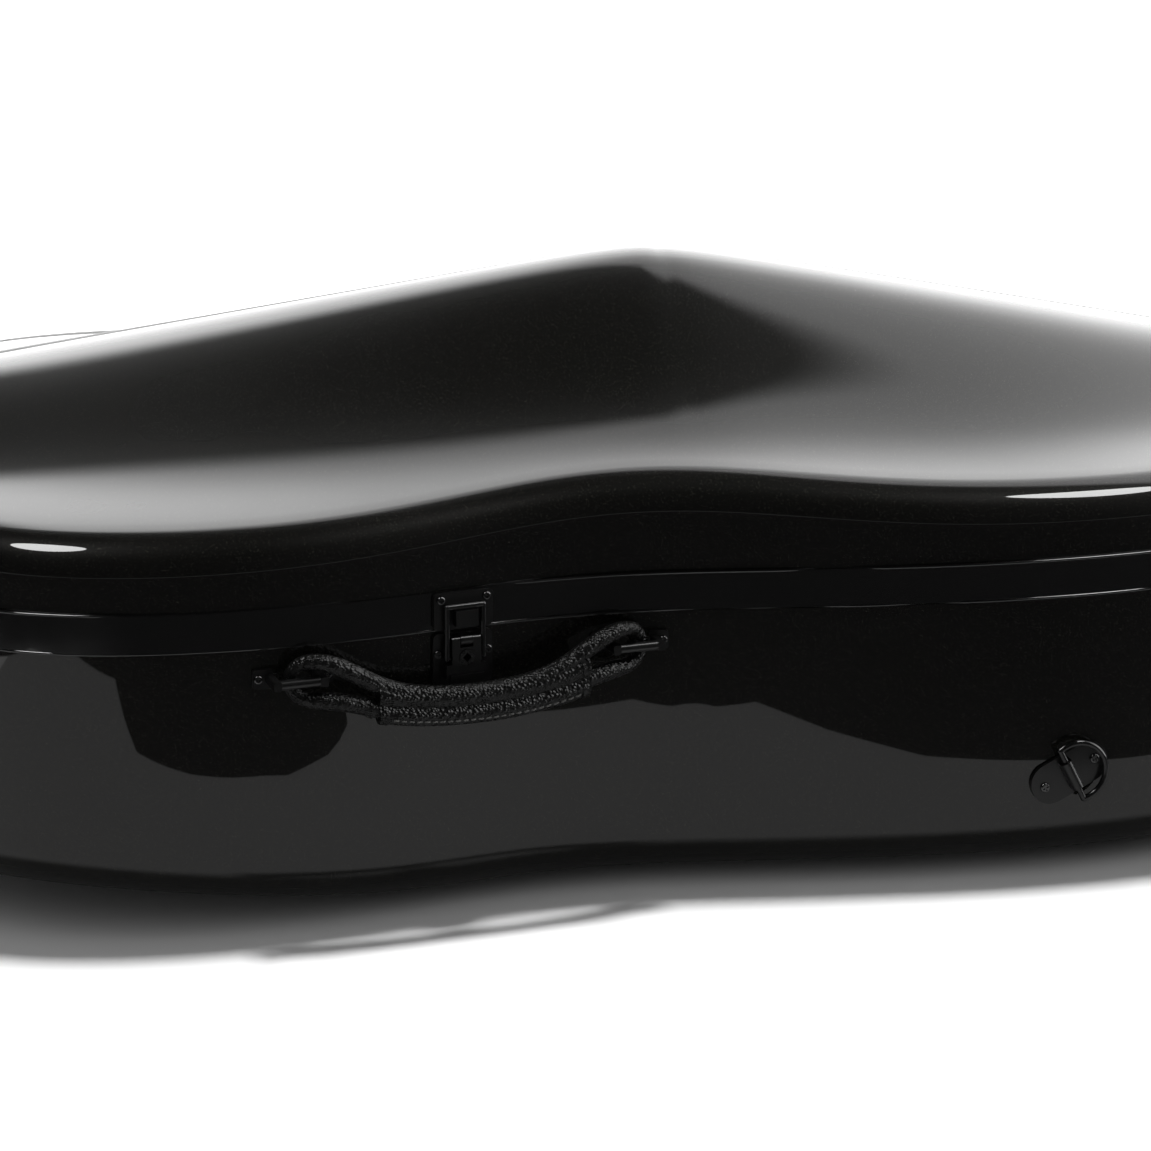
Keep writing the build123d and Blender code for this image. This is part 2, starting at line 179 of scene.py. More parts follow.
def gloss_black():
    made, shader = material("gloss_black", (0.002, 0.002, 0.002), 0.12, 0.0, 1.0, 0.02)
    haze = texture(made, "ShaderNodeTexNoise", 30, 4)
    rough = spread(made, haze.outputs["Fac"], 0.35, 0.7, 0.09, 0.17)
    made.node_tree.links.new(rough, shader.inputs["Roughness"])
    return made


paint = flake_paint()
black_gloss = gloss_black()
print("Made", paint.name, "and", black_gloss.name)

# %% [markdown]
# Latches, bridges and rings are steel under black enamel that has worn a little lighter in patches, and
# pins, screws and the lock are plated steel. One helper makes each kind, and its pieces differ only in
# colour and roughness. The box's plastic comes from the first helper, the tongue's aluminium from the
# second, because they need the same patterns.

# %% Metals
def enamel(name, roughness, color=(0.005, 0.005, 0.005)):
    made, shader = material(name, color, roughness, 0.2, 0.3, 0.12)
    shader.inputs["Specular IOR Level"].default_value = 0.35
    grain = texture(made, "ShaderNodeTexNoise", 700, 4)
    worn = texture(made, "ShaderNodeTexNoise", 130, 6)
    mask = spread(made, worn.outputs["Fac"], 0.66, 0.8, 0, 1)
    lighter = tuple(c * 2 + 0.004 for c in color)
    two_colors(made, mask, color, lighter, shader.inputs["Base Color"])
    bumped(made, shader, grain.outputs["Fac"], 0.12, 0.0002)
    return made


def plated_steel(name, color, roughness):
    made, shader = material(name, color, roughness, 1.0)
    streaks = texture(made, "ShaderNodeTexNoise", 500, 3)
    rough = spread(made, streaks.outputs["Fac"], 0.3, 0.7, roughness - 0.06, roughness + 0.08)
    made.node_tree.links.new(rough, shader.inputs["Roughness"])
    return made


fitting = enamel("black_enamel", 0.30)
screw_finish = plated_steel("screw_steel", (0.09, 0.09, 0.09), 0.2)
wire_finish = enamel("wire_enamel", 0.16, (0.006, 0.006, 0.006))
steel = plated_steel("pin_steel", (0.5, 0.5, 0.5), 0.3)
lock_steel = plated_steel("lock_steel", (0.05, 0.05, 0.05), 0.26)
aluminium = plated_steel("tongue_aluminium", (0.6, 0.6, 0.62), 0.35)
box_plastic = enamel("box_plastic", 0.5, (0.03, 0.03, 0.03))
print("Made", fitting.name, "and", steel.name, "with their variants")

# %% [markdown]
# The handle's leather is pebbled, with a shine on each pebble, so a cell pattern about 1.6 mm across
# drives both its bump and its roughness. The lining is a short plush, which a little sheen and a fine
# noise suggest. Rubber gets a plain grain, and webbing the ribs of its weave.

# %% Leather, plush, rubber and webbing
PEBBLE_SCALE = 620


def leather():
    made, shader = material("pebbled_leather", (0.012, 0.012, 0.012), 0.3, 0.0, 0.0)
    shader.inputs["Specular IOR Level"].default_value = 0.28
    pebbles = texture(made, "ShaderNodeTexVoronoi", PEBBLE_SCALE)
    soft = texture(made, "ShaderNodeTexNoise", 220, 5)
    dark, light = (0.001, 0.001, 0.001), (0.004, 0.004, 0.0037)
    two_colors(made, soft.outputs["Fac"], dark, light, shader.inputs["Base Color"])
    rough = spread(made, pebbles.outputs["Distance"], 0.0, 0.6, 0.14, 0.32)
    made.node_tree.links.new(rough, shader.inputs["Roughness"])
    flipped = spread(made, pebbles.outputs["Distance"], 0.0, 0.7, 1, 0)
    bumped(made, shader, flipped, 1.0, 0.0005)
    return made


def plush(name, dark, light):
    made, shader = material(name, light, 0.9, 0.0, 0.0, 0.03, 0.6)
    fibres = texture(made, "ShaderNodeTexNoise", 900, 6)
    nap = texture(made, "ShaderNodeTexNoise", 14, 3)
    two_colors(made, nap.outputs["Fac"], dark, light, shader.inputs["Base Color"])
    bumped(made, shader, fibres.outputs["Fac"], 0.6, 0.001)
    return made


def rubber():
    made, shader = material("black_rubber", (0.02, 0.02, 0.02), 0.7)
    grain = texture(made, "ShaderNodeTexNoise", 600, 4)
    bumped(made, shader, grain.outputs["Fac"], 0.3, 0.0004)
    return made


def webbing():
    made, shader = material("webbing", (0.03, 0.03, 0.03), 0.8)
    wave = texture(made, "ShaderNodeTexWave", 330)
    bumped(made, shader, wave.outputs["Fac"], 0.6, 0.0006)
    return made


hide = leather()
thread = material("thread", (0.05, 0.049, 0.045), 0.5, 0.0, 0.0, 0.03, 0.3)[0]
lining_plush = plush("lining_plush", (0.05, 0.006, 0.009), (0.12, 0.016, 0.022))
pad_plush = plush("pad_plush", (0.06, 0.008, 0.011), (0.15, 0.020, 0.028))
foot_rubber = rubber()
strap_webbing = webbing()
print("Made", hide.name, lining_plush.name, foot_rubber.name, "and", strap_webbing.name)

# %% [markdown]
# Every node of the model carries a slot that says what it is made of. One table turns each slot into a
# finish, so that no node is forgotten and the same stuff looks the same everywhere.

# %% Dress the CAD nodes
FINISH = {
    "shell_paint": paint, "band_black": black_gloss, "tongue_aluminium": aluminium,
    "seal_rubber": foot_rubber, "lining_plush": lining_plush, "pad_plush": pad_plush,
    "hardware_black": fitting, "screw_black": screw_finish, "steel": steel, "bail_steel": wire_finish,
    "lock_steel": lock_steel, "handle_leather": hide, "foot_rubber": foot_rubber,
    "strap_webbing": strap_webbing, "box_plastic": box_plastic,
}
slot_of = {entry["node"]: entry["material_slot"] for entry in frame["record"]["subparts"]}
for name, thing in nodes.items():
    thing.data.materials.clear()
    thing.data.materials.append(FINISH[slot_of[name]])
print("Dressed", len(nodes), "nodes from", len(FINISH), "slots")

# %% [markdown]
# Three small helpers serve all the new pieces. One selects a single object, because an operator acts on
# all that is selected. One turns points and faces into an object. The last turns all its faces outwards.

# %% Mesh helpers
def only(thing):
    bpy.ops.object.select_all(action="DESELECT")
    thing.select_set(True)
    bpy.context.view_layer.objects.active = thing


def mesh_object(name, points, faces):
    mesh = bpy.data.meshes.new(name)
    mesh.from_pydata(points, [], faces)
    made = bpy.data.objects.new(name, mesh)
    bpy.context.scene.collection.objects.link(made)
    return made


def face_outwards(thing, merge=0.0):
    """Turn a mesh's faces outwards, after merging points closer than the given distance."""
    only(thing)
    bpy.ops.object.mode_set(mode="EDIT")
    bpy.ops.mesh.select_all(action="SELECT")
    if merge:
        bpy.ops.mesh.remove_doubles(threshold=merge)
    bpy.ops.mesh.normals_make_consistent(inside=False)
    bpy.ops.object.mode_set(mode="OBJECT")


print("Mesh helpers are ready")

# %% [markdown]
# A glossy shell shows every uneven triangle, and a solid's own mesh has many thin ones. The two shells
# are therefore drawn again as even grids, by the same rules as the solids. First come those rules, in
# millimetres: the outline seen from above, the ridge along the lid, and the height of the wall's edge.

# %% Rules of the shells
OUTLINE = [
    (-670, 0), (-667, 45), (-650, 110), (-610, 185), (-560, 226), (-460, 242), (-385, 229),
    (-335, 214), (-285, 201), (-235, 196), (-185, 198), (-85, 201), (15, 190), (90, 165),
    (160, 133), (240, 109), (340, 97), (480, 91), (590, 82), (645, 60), (667, 30), (670, 0),
]
BOTTOM_END = -670.0
HEAD_END = 670.0
BODY_DEPTH = 145.0
BRIDGE_X = -211.0
RIDGE_HEIGHT = 151.0
RIDGE_SOFTNESS = 28.0
SLOPE_LOW = 0.163
SLOPE_HIGH = 0.186
NECK_HEIGHT = 76.0
NECK_BLEND = 3.0
WAIST_X = -235.0
RIM_HEIGHT = 58.0
WAIST_RISE = 13.0
WAIST_SPREAD = 120.0
BODY_EDGE_DROP = 2
TAIL_START = -330
TAIL_LENGTH = 250
TAIL_RISE = 18


def ridge(x):
    """Height of the lid's middle above the parting."""
    away = x - BRIDGE_X
    slope = SLOPE_LOW if away < 0 else SLOPE_HIGH
    peak = RIDGE_HEIGHT - slope * math.hypot(away, RIDGE_SOFTNESS)
    return NECK_HEIGHT + NECK_BLEND * math.log(1 + math.exp(min((peak - NECK_HEIGHT) / NECK_BLEND, 60)))


def rim(x):
    """Height of the lid's rounded edge above the parting."""
    return RIM_HEIGHT + WAIST_RISE * math.exp(-((x - WAIST_X) / WAIST_SPREAD) ** 2)


def body_edge(x):
    """Depth of the body's rounded edge below the parting, less towards the bottom end."""
    rise = min(max((TAIL_START - x) / TAIL_LENGTH, 0), 1)
    return BODY_DEPTH - BODY_EDGE_DROP - TAIL_RISE * rise * rise * (3 - 2 * rise)


def end_drop(x, radius):
    """How far the rounding at either end lowers the section."""
    reach = max(min(x - BOTTOM_END, HEAD_END - x), 0)
    return 0 if reach >= radius else radius - math.sqrt(radius ** 2 - (radius - reach) ** 2)


print("The ridge is", round(ridge(BRIDGE_X), 1), "mm above the parting")

# %% [markdown]
# A smooth curve through a few points gives both the outline and each section's roof. A Bezier curve
# would need every handle placed by hand, so a cubic spline with a chosen direction at each end is worked
# out here instead. A section is a wall, a rounded corner, and the roof up to the middle.

# %% Sections of the shells
CORNER_STEPS = 12
ROOF_POINTS = 24
LID_LEAN = 0.15
BODY_LEAN = 0.02
SHOULDER = (0.62, 0.2)
HILLSIDE = (0.3, 0.7)
NARROWEST_ROOF = 12


def smooth_line(points, start, finish, count):
    """Cubic curve through the points with given end directions, as evenly spread points."""
    p = np.array(points, float)
    step = np.linalg.norm(np.diff(p, axis=0), axis=1)
    knots = np.concatenate([[0], np.cumsum(step)])
    size = len(p)
    rows = np.zeros((size, size))
    right = np.zeros_like(p)
    rows[0, 0] = rows[-1, -1] = 1
    right[0] = np.array(start) / np.linalg.norm(start)
    right[-1] = np.array(finish) / np.linalg.norm(finish)
    for i in range(1, size - 1):
        before, after = step[i - 1], step[i]
        rows[i, i - 1: i + 2] = (1 / before, 2 / before + 2 / after, 1 / after)
        right[i] = 3 * ((p[i] - p[i - 1]) / before ** 2 + (p[i + 1] - p[i]) / after ** 2)
    slopes = np.linalg.solve(rows, right)
    made = []
    for at in np.linspace(0, knots[-1], count):
        i = min(max(int(np.searchsorted(knots, at, side="right")) - 1, 0), size - 2)
        u = (at - knots[i]) / step[i]
        made.append(
            (2 * u ** 3 - 3 * u ** 2 + 1) * p[i] + (u ** 3 - 2 * u ** 2 + u) * step[i] * slopes[i]
            + (3 * u ** 2 - 2 * u ** 3) * p[i + 1] + (u ** 3 - u ** 2) * step[i] * slopes[i + 1]
        )
    return np.array(made)


def section(x, w, side, corner, base):
    """Half of the section at x, from the wall's open edge over the corner to the middle."""
    r = min(corner, 0.55 * w)
    edge = (rim(x) if side > 0 else body_edge(x)) - end_drop(x, corner)
    crown = max((ridge(x) if side > 0 else BODY_DEPTH) - end_drop(x, corner), edge + 1)
    lean = math.atan(LID_LEAN if side > 0 else BODY_LEAN)
    d = crown - edge
    points = [(w, base + (edge - r - base) * k / 6) for k in range(6)]
    for k in range(CORNER_STEPS + 1):
        a = (math.pi / 2 - lean) * k / CORNER_STEPS
        points.append((w - r + r * math.cos(a), edge - r + r * math.sin(a)))
    last = points[-1]
    if w > NARROWEST_ROOF:
        via = [last] + [(across * w, edge + up * d) for across, up in (SHOULDER, HILLSIDE)] + [(0, crown)]
        if via[1][0] > last[0] - 2:
            via.pop(1)
        roof = smooth_line(via, (-1, math.tan(lean)), (-1, 0), ROOF_POINTS)
    else:
        roof = np.linspace(last, (0, crown), ROOF_POINTS)
    return points + [tuple(q) for q in roof[1:]]


print("A corner has", CORNER_STEPS + 1, "points and a roof", ROOF_POINTS)

# %% [markdown]
# Each skin is a grid: its rows are the sections, one after another along the case. The Solidify modifier
# then gives it a wall, inwards, so that its edge looks right when the lid is open. The skin takes the
# place of its solid.

# %% Shell skins
SKIN_THICKNESS = 3.0 * MM
SKIN_ROWS = 260
MERGE_DISTANCE = 0.00005
RIM_GAP = 0.4
BAND_HEIGHT = 20.0
LID_CORNER = 22.0
BODY_CORNER = 24.0


def shell_skin(name, side, corner, base, body):
    middle = smooth_line(OUTLINE, (0, 1), (0, -1), SKIN_ROWS)
    points = []
    for x, w in middle:
        half = section(x, max(w, 0.01), side, corner, base)
        row = half + [(-y, z) for y, z in half[-2::-1]]
        points += [(x * MM, y * MM, PARTING + side * z * MM) for y, z in row]
    across = len(points) // len(middle)
    faces = []
    for i in range(len(middle) - 1):
        for j in range(across - 1):
            a = i * across + j
            faces.append((a, a + 1, a + 1 + across, a + across))
    made = mesh_object(name + "_skin", points, faces)
    face_outwards(made, MERGE_DISTANCE)
    thick = made.modifiers.new("thickness", "SOLIDIFY")
    thick.thickness = SKIN_THICKNESS
    thick.offset = -1
    bpy.ops.object.modifier_apply(modifier="thickness")
    bpy.ops.object.shade_smooth_by_angle(angle=math.radians(40))
    made.data.materials.append(paint)
    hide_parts(name)
    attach(made, body)
    return made


lid_skin = shell_skin("lid_shell", 1, LID_CORNER, BAND_HEIGHT, "lid")
body_skin = shell_skin("body_shell", -1, BODY_CORNER, RIM_GAP, "case")
print("Skins of", len(lid_skin.data.polygons), "and", len(body_skin.data.polygons), "faces")

# %% [markdown]
# The carry handle is a loop of rolled leather, wrapped in the middle, that hangs from two bridges on a
# slanted part of the wall. Its pieces are easier to place in a frame of their own, along the line
# between the bridges, and that line is read from the model and its joint.

# %% Frame of the handle
BAR_DEPTH = 13.5
low_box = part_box("handle_low_bracket")
high_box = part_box("handle_high_bracket")
swing = [joint for joint in frame["joints"] if joint["name"] == "handle_swing"][0]
along = -Vector(swing["axis"]).normalized()
up = Vector((0, 0, 1))
out = along.cross(up).normalized()
bar_middle = Vector(swing["pos_m"])
half_reach = (high_box[1].x + high_box[0].x - low_box[1].x - low_box[0].x) / 4 / along.x / MM


def on_handle(x, y, z):
    """Point in the handle's frame: x along it, y up from its bars, z out from the wall."""
    return bar_middle + (along * x + up * y + out * (z - BAR_DEPTH)) * MM


print("The bridges are", round(2 * half_reach, 1), "mm apart")

# %% [markdown]
# A rolled cord of leather has the same round section all along, so a curve with a round bevel suits it.
# The helper makes the curve, lets its thickness change from point to point, and turns it into a mesh.

# %% Tubes
def tube(name, points, radius, closed=False, resolution=10, scales=None):
    """Round tube along a smooth curve, turned into a mesh."""
    curve = bpy.data.curves.new(name, "CURVE")
    curve.dimensions = "3D"
    curve.bevel_depth = radius
    curve.bevel_resolution = 6
    curve.use_fill_caps = True
    spline = curve.splines.new("NURBS")
    spline.points.add(len(points) - 1)
    for point, place in zip(spline.points, points):
        point.co = (*place, 1)
    for point, scale in zip(spline.points, scales or []):
        point.radius = scale
    spline.order_u = 4
    spline.use_cyclic_u = closed
    spline.use_endpoint_u = not closed
    spline.resolution_u = resolution
    made = bpy.data.objects.new(name, curve)
    bpy.context.scene.collection.objects.link(made)
    only(made)
    bpy.ops.object.convert(target="MESH")
    bpy.ops.object.shade_smooth()
    return bpy.context.object


print("The tube helper is ready")

# %% [markdown]
# The loop has two strands that meet in an eye at each bridge. The eyes are slimmer than the rest, so that
# the loop can swing without running into its bridges. The points of the route are listed one by one.

# %% Rolled loop
SAG = -19.0
EYE_SCALE = 0.74
ROLL_RADIUS = 4.6 * MM


def strand(side):
    """Half of the route from the high eye to the low one: side 1 is the upper strand, -1 the lower."""
    right = [
        (half_reach + 4, side * 3, 7.0), (half_reach - 1, side * 10.5, 9.5),
        (half_reach - 15, side * 10 - 0.5, 13.5), (half_reach - 30, -6.5 + side * 7.4, 14.5),
        (half_reach - 50, SAG + 3 + side * 5, 16),
    ]
    return right + [(0, SAG + side * 4.8, 17)] + [(-x, y, z) for x, y, z in right[::-1]]


route = strand(1) + strand(-1)[::-1]
slim = [EYE_SCALE if abs(p[0]) > half_reach - 2 else 1.0 for p in route]
loop = tube("handle_loop", [on_handle(*p) for p in route], ROLL_RADIUS, closed=True, scales=slim)
loop.data.materials.append(hide)
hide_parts("carry_handle")
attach(loop, "handle")
print("The loop has", len(route), "points and", len(loop.data.polygons), "faces")

# %% [markdown]
# The wrap is a leather sleeve that holds both strands, with a crease between them front and back. A
# cylinder bent along the sag would do, but the crease follows the strands, so the sleeve is made of
# rings of one outline, joined from end to end. A short raised ring closes each end.

# %% Leather wrap
WRAP_LOW = -48.0
WRAP_HIGH = 59.0
WRAP_STEPS = 28
WRAP_SIDES = 32
WRAP_TALL = 10.0
WRAP_DEEP = 5.2
WRAP_FLATNESS = 0.7
CREASE_DEPTH = 0.42
CREASE_WIDTH = 0.24
RING_HALF = 2
RING_PROUD = 0.5


def wrap_middle(x):
    """Height and depth of the sleeve's middle at x."""
    rise = (abs(x) / half_reach) ** 2.2
    return SAG * (1 - 0.93 * rise), 17 - 3.4 * rise


def wrap_ring(x, grow):
    """One outline of the sleeve, grown outwards by the given amount."""
    y, z = wrap_middle(x)
    points = []
    for step in range(WRAP_SIDES):
        angle = 2 * math.pi * step / WRAP_SIDES
        pinch = 1 - CREASE_DEPTH * math.exp(-(math.sin(angle) / CREASE_WIDTH) ** 2)
        round_side = math.copysign(abs(math.cos(angle)) ** WRAP_FLATNESS, math.cos(angle))
        tall = (WRAP_TALL + grow) * math.sin(angle)
        deep = (WRAP_DEEP + grow) * round_side * pinch
        points.append(on_handle(x, y + tall, z + deep))
    return points


def wrap_mesh(name, low, high, grow, steps):
    points = []
    faces = []
    for step in range(steps + 1):
        points += wrap_ring(low + (high - low) * step / steps, grow)
    for step in range(steps):
        for side in range(WRAP_SIDES):
            a = step * WRAP_SIDES + side
            b = step * WRAP_SIDES + (side + 1) % WRAP_SIDES
            faces.append((a, b, b + WRAP_SIDES, a + WRAP_SIDES))
    faces.append(tuple(range(WRAP_SIDES))[::-1])
    faces.append(tuple(range(steps * WRAP_SIDES, (steps + 1) * WRAP_SIDES)))
    made = mesh_object(name, points, faces)
    face_outwards(made)
    bpy.ops.object.shade_smooth_by_angle(angle=math.radians(50))
    return made


wrap_pieces = [
    wrap_mesh("handle_wrap", WRAP_LOW, WRAP_HIGH, 0.0, WRAP_STEPS),
    wrap_mesh("handle_wrap_low_end", WRAP_LOW - RING_HALF, WRAP_LOW + RING_HALF, RING_PROUD, 3),
    wrap_mesh("handle_wrap_high_end", WRAP_HIGH - RING_HALF, WRAP_HIGH + RING_HALF, RING_PROUD, 3),
]
for piece in wrap_pieces:
    piece.data.materials.append(hide)
    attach(piece, "handle")
print("The wrap is", WRAP_HIGH - WRAP_LOW, "mm long, in", len(wrap_pieces), "pieces")

# %% [markdown]
# The sleeve's seam is sewn along its lower front with short, dull stitches. Each stitch is a small tube
# that rises a little in its middle, and all of them are joined into one object at the end.

# %% Stitches
STITCH_STEP = 4.0
STITCH_LENGTH = 2.4
STITCH_RADIUS = 0.45 * MM
STITCH_RISE = 0.5
SEAM_DROP = 6.9
SEAM_DEPTH = 4.0
SEAM_MARGIN = 5
x = WRAP_LOW + SEAM_MARGIN
stitches = []
while x < WRAP_HIGH - SEAM_MARGIN:
    y, z = wrap_middle(x)
    y2, z2 = wrap_middle(x + STITCH_LENGTH)
    ends = [
        on_handle(x, y - SEAM_DROP, z + SEAM_DEPTH),
        on_handle(x + STITCH_LENGTH / 2, y - SEAM_DROP, z + SEAM_DEPTH + STITCH_RISE),
        on_handle(x + STITCH_LENGTH, y2 - SEAM_DROP, z2 + SEAM_DEPTH),
    ]
    stitches.append(tube("stitch", ends, STITCH_RADIUS, resolution=3))
    x += STITCH_STEP
print("Sewed", len(stitches), "stitches")
only(stitches[0])
for piece in stitches:
    piece.select_set(True)
bpy.ops.object.join()
stitching = bpy.context.object
stitching.name = "handle_stitches"
stitching.data.materials.append(thread)
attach(stitching, "handle")

# %% [markdown]
# Both edges of the band catch the light as a thin line. A sharp edge never does that in a render, so a
# fine round bead runs along each. Its route is read from the band's own points: the outermost one in
# each direction, in order round the case.

# %% Beads on the band
BEAD_RADIUS = 0.75 * MM
BEAD_POINTS = 160
WIDTH_SCALE = 2.5
LEVEL_TOLERANCE = 0.0003


def band_edge(height):
    """Points along the band's outer edge at one height, in order round the case."""
    corners = [v.co for v in nodes["lid_band"].data.vertices if abs(v.co.z - height) < LEVEL_TOLERANCE]
    best = {}
    for co in corners:
        key = round(math.atan2(co.y * WIDTH_SCALE, co.x) / (2 * math.pi) * BEAD_POINTS)
        reach = math.hypot(co.x, co.y * WIDTH_SCALE)
        if key not in best or reach > best[key][0]:
            best[key] = (reach, co)
    return [Vector((co.x, co.y, height)) for key, (reach, co) in sorted(best.items())]


band_low, band_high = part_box("lid_band")
for bead_name, bead_height in (("band_bead_top", band_high.z), ("band_bead_low", band_low.z)):
    bead = tube(bead_name, band_edge(bead_height), BEAD_RADIUS, True, 6)
    bead.data.materials.append(black_gloss)
    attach(bead, "lid")
    print(bead_name, "is at", round(bead_height / MM, 1), "mm")

# %% [markdown]
# The pads, the bow's pocket and the strap are soft on a real case, with no sharp corner anywhere. Each is
# a copy of its solid that is remeshed into small even faces and then smoothed, which draws the corners
# in. The thin strap gets a finer mesh and less smoothing, so that it keeps its thickness.

# %% Soft pads
PAD_VOXEL = 0.004
PAD_SMOOTHING = 12
STRAP_VOXEL = 0.001
STRAP_SMOOTHING = 2
SOFT_NODES = [
    "end_pad", "pad_low_near", "pad_low_far", "pad_high_near", "pad_high_far", "scroll_pad",
    "neck_cradle", "bow_pocket", "neck_strap",
]
bodies_of = frame["record"]["behaviour"]["bodies"]


def body_name(name):
    return [body for body, members in bodies_of.items() if name in members][0]


for name in SOFT_NODES:
    mesh = nodes[name].data.copy()
    pad = bpy.data.objects.new(name + "_cushion", mesh)
    bpy.context.scene.collection.objects.link(pad)
    only(pad)
    remesh = pad.modifiers.new("even", "REMESH")
    remesh.mode = "VOXEL"
    remesh.voxel_size = STRAP_VOXEL if name == "neck_strap" else PAD_VOXEL
    soften = pad.modifiers.new("soft", "SMOOTH")
    soften.iterations = STRAP_SMOOTHING if name == "neck_strap" else PAD_SMOOTHING
    bpy.ops.object.modifier_apply(modifier="even")
    bpy.ops.object.modifier_apply(modifier="soft")
    bpy.ops.object.shade_smooth()
    pad.data.materials.clear()
    pad.data.materials.append(FINISH[slot_of[name]])
    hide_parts(name)
    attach(pad, body_name(name))
    print(name, "has", len(pad.data.polygons), "faces")

# %% [markdown]
# The floor is pale and wide. Near the case only the room and the lamps light it, so it keeps the case's
# shadow. Away from the case it also glows for the camera, which keeps the background white without more
# light on the case.

# %% Floor
FLOOR_SIZE = 60
FLOOR_DROP = 0.0003
GLOW_START = 0.42
GLOW_FULL = 0.95
GLOW = 0.85
bpy.ops.mesh.primitive_plane_add(size=FLOOR_SIZE, location=(0, 0, cad_low.z - FLOOR_DROP))
floor = bpy.context.object
floor.name = "floor"
floor_material, floor_shader = material("floor", (0.86, 0.86, 0.86), 0.7)
floor.data.materials.append(floor_material)
floor_shader.inputs["Emission Color"].default_value = (1, 1, 1, 1)
floor_links = floor_material.node_tree.links
squeeze = node(floor_material, "ShaderNodeVectorMath", operation="MULTIPLY")
squeeze.inputs[1].default_value = (0.5, 1, 1)
floor_links.new(object_coordinates(floor_material), squeeze.inputs[0])
away = node(floor_material, "ShaderNodeVectorMath", operation="LENGTH")
floor_links.new(squeeze.outputs["Vector"], away.inputs[0])
far_glow = spread(floor_material, away.outputs["Value"], GLOW_START, GLOW_FULL, 0.0, GLOW)
seen = node(floor_material, "ShaderNodeLightPath")
glow = node(floor_material, "ShaderNodeMath", operation="MULTIPLY")
floor_links.new(far_glow, glow.inputs[0])
floor_links.new(seen.outputs["Is Camera Ray"], glow.inputs[1])
floor_links.new(glow.outputs["Value"], floor_shader.inputs["Emission Strength"])
print("The floor is at", round(cad_low.z - FLOOR_DROP, 4))

# %% [markdown]
# A gloss black case is drawn by what it reflects. In the photograph the lower wall shows a grey floor,
# which is the pale floor in the case's shadow, and above it a dark room with an uneven edge. Two flat
# cards on the floor, which only reflections see, stand for these, so the grey card is painted shadow.
# The dark card's edge is given point by point, in metres.

# %% Cards for the reflections
CARD_OUTLINE = [
    (-4, 1.5), (-1.12, 1.5), (-1.09, -0.29), (-0.89, -0.60), (-0.74, -0.68), (-0.61, -0.67),
    (-0.575, -0.60), (-0.54, -0.54), (-0.45, -0.50), (-0.40, -0.485), (-0.355, -0.475), (-0.33, -0.465),
    (-0.27, -0.475), (-0.245, -0.49), (-0.22, -0.51), (-0.205, -0.54), (-0.19, -0.50), (-0.17, -0.51),
    (-0.12, -0.455), (-0.05, -0.40), (0.05, -0.365), (0.22, -0.28), (0.45, -0.22), (0.9, -0.18),
    (4, -0.18), (4, -6), (-4, -6),
]
# The near card and its grey tone are painted shadow: the case's shade on the floor, as reflections see it.
PAINTED_SHADOW_OUTLINE = [(-0.95, -3), (4, -3), (4, 1), (-0.95, 1)]
CARD_HEIGHT = 0.001
DARK_SHADE = 0.004
PAINTED_SHADOW_TONE = 0.4


def reflected_card(name, outline, height, shade):
    """Flat card on the floor that only reflections see."""
    points = [(x, y, height) for x, y in outline]
    card = mesh_object(name, points, [tuple(range(len(outline)))])
    card.data.materials.append(material(name, (shade, shade, shade), 1.0)[0])
    card.visible_camera = False
    card.visible_diffuse = False
    card.visible_shadow = False
    card.visible_transmission = False


reflected_card("dark_card", CARD_OUTLINE, CARD_HEIGHT, DARK_SHADE)
# This grey card paints the case's shadow on the floor into the reflections, as a flat grey sheet.
reflected_card("painted_shadow_card", PAINTED_SHADOW_OUTLINE, 0.0, PAINTED_SHADOW_TONE)
print("The dark card has", len(CARD_OUTLINE), "corners")

# %% [markdown]
# The lid shows a bright room behind the case and a dark one overhead. The world makes both, for
# reflections alone: dark in front and above, bright behind, and brightest low and to the right, where
# its strength goes above 1. For everything else the room is one plain, dim white.

# %% Room light
AMBIENT = 0.3
DARK_ROOM = 0.012
SIDE_WEIGHT = 1.35
WINDOW_EDGE = (0.66, 0.80)
LOW_BAND = (0.76, 0.42)
LOW_GAIN = 2.4
RIGHT_BAND = (0.12, 0.42)
RIGHT_GAIN = 1.7
world = bpy.data.worlds.new("room")
bpy.context.scene.world = world
world.use_nodes = True
tree = world.node_tree
background = tree.nodes["Background"]
direction = tree.nodes.new("ShaderNodeTexCoord")
parts = tree.nodes.new("ShaderNodeSeparateXYZ")
tree.links.new(direction.outputs["Generated"], parts.inputs["Vector"])


def world_range(value, low, high, out_low, out_high):
    ranged = tree.nodes.new("ShaderNodeMapRange")
    ranged.interpolation_type = "SMOOTHSTEP"
    tree.links.new(value, ranged.inputs["Value"])
    for key, number in (("From Min", low), ("From Max", high), ("To Min", out_low), ("To Max", out_high)):
        ranged.inputs[key].default_value = number
    return ranged.outputs["Result"]


def world_product(first, second):
    made = tree.nodes.new("ShaderNodeMath")
    made.operation = "MULTIPLY"
    tree.links.new(first, made.inputs[0])
    tree.links.new(second, made.inputs[1])
    return made.outputs["Value"]


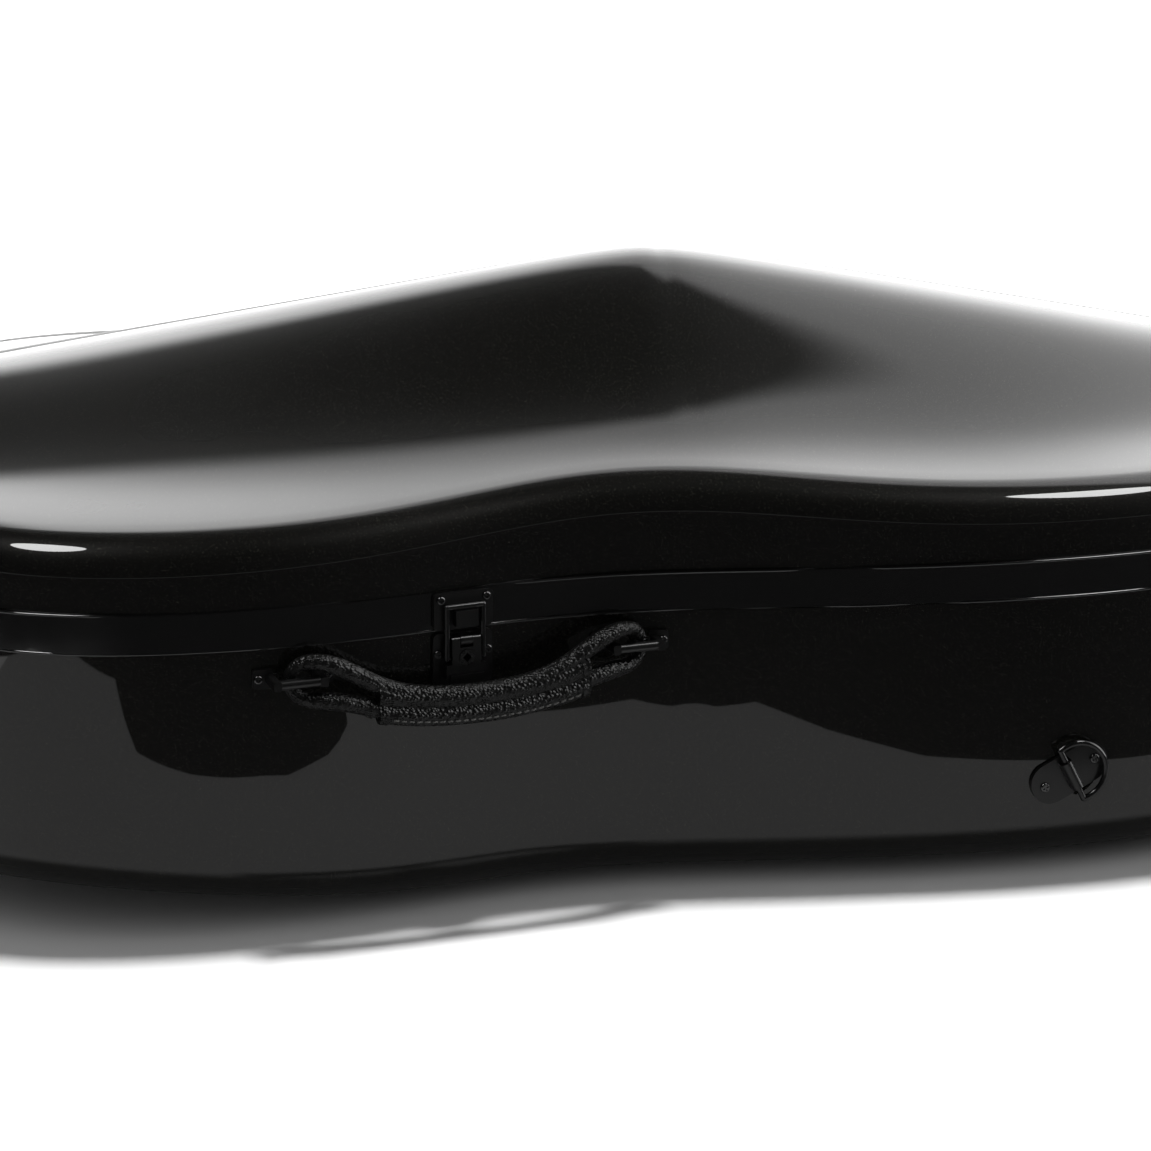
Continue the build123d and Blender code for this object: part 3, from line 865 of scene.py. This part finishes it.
sideways = tree.nodes.new("ShaderNodeMath")
sideways.operation = "MULTIPLY_ADD"
tree.links.new(parts.outputs["X"], sideways.inputs[0])
sideways.inputs[1].default_value = SIDE_WEIGHT
tree.links.new(parts.outputs["Y"], sideways.inputs[2])
behind = world_range(sideways.outputs["Value"], *WINDOW_EDGE, DARK_ROOM, 1.0)
lower = world_range(parts.outputs["Z"], *LOW_BAND, 1.0, LOW_GAIN)
rightward = world_range(parts.outputs["X"], *RIGHT_BAND, 1.0, RIGHT_GAIN)
gloss = world_product(world_product(lower, rightward), behind)
path = tree.nodes.new("ShaderNodeLightPath")
choose = tree.nodes.new("ShaderNodeMix")
choose.inputs[2].default_value = AMBIENT
tree.links.new(path.outputs["Is Glossy Ray"], choose.inputs[0])
tree.links.new(gloss, choose.inputs[3])
tree.links.new(choose.outputs[0], background.inputs["Strength"])
background.inputs["Color"].default_value = (1, 1, 1, 1)
print("Room light: plain", AMBIENT, "and at most", round(LOW_GAIN * RIGHT_GAIN, 2), "in reflections")

# %% [markdown]
# Two round softboxes make the bright streaks on the lid's rim, one at each side of the picture. They
# show in reflections alone. A third, above the case, gives the plain light and the short shadow, and
# stays out of the reflections.

# %% Lamps
def lamp(name, place, aim, size, power):
    bpy.ops.object.light_add(type="AREA", location=place)
    made = bpy.context.object
    made.name = name
    made.data.shape = "DISK"
    made.data.size = size
    made.data.energy = power
    made.rotation_euler = (Vector(aim) - Vector(place)).to_track_quat("-Z", "Y").to_euler()
    return made


left = lamp("left_softbox", (-1.5, -0.65, 2.6), (-0.6, -0.2, 0.2), 0.9, 30)
right = lamp("right_softbox", (1.2, -0.75, 2.5), (0.1, -0.2, 0.2), 0.8, 24)
for side_box in (left, right):
    side_box.visible_diffuse = False
top = lamp("top_softbox", (-0.2, 0.15, 3.0), (-0.2, -0.05, 0), 0.35, 100)
top.visible_glossy = False
print("Lamps:", left.name, right.name, top.name)

# %% [markdown]
# At the end the colours are shown with Blender's plain Standard view transform.

# %% Finish
bpy.context.scene.view_settings.view_transform = "Standard"
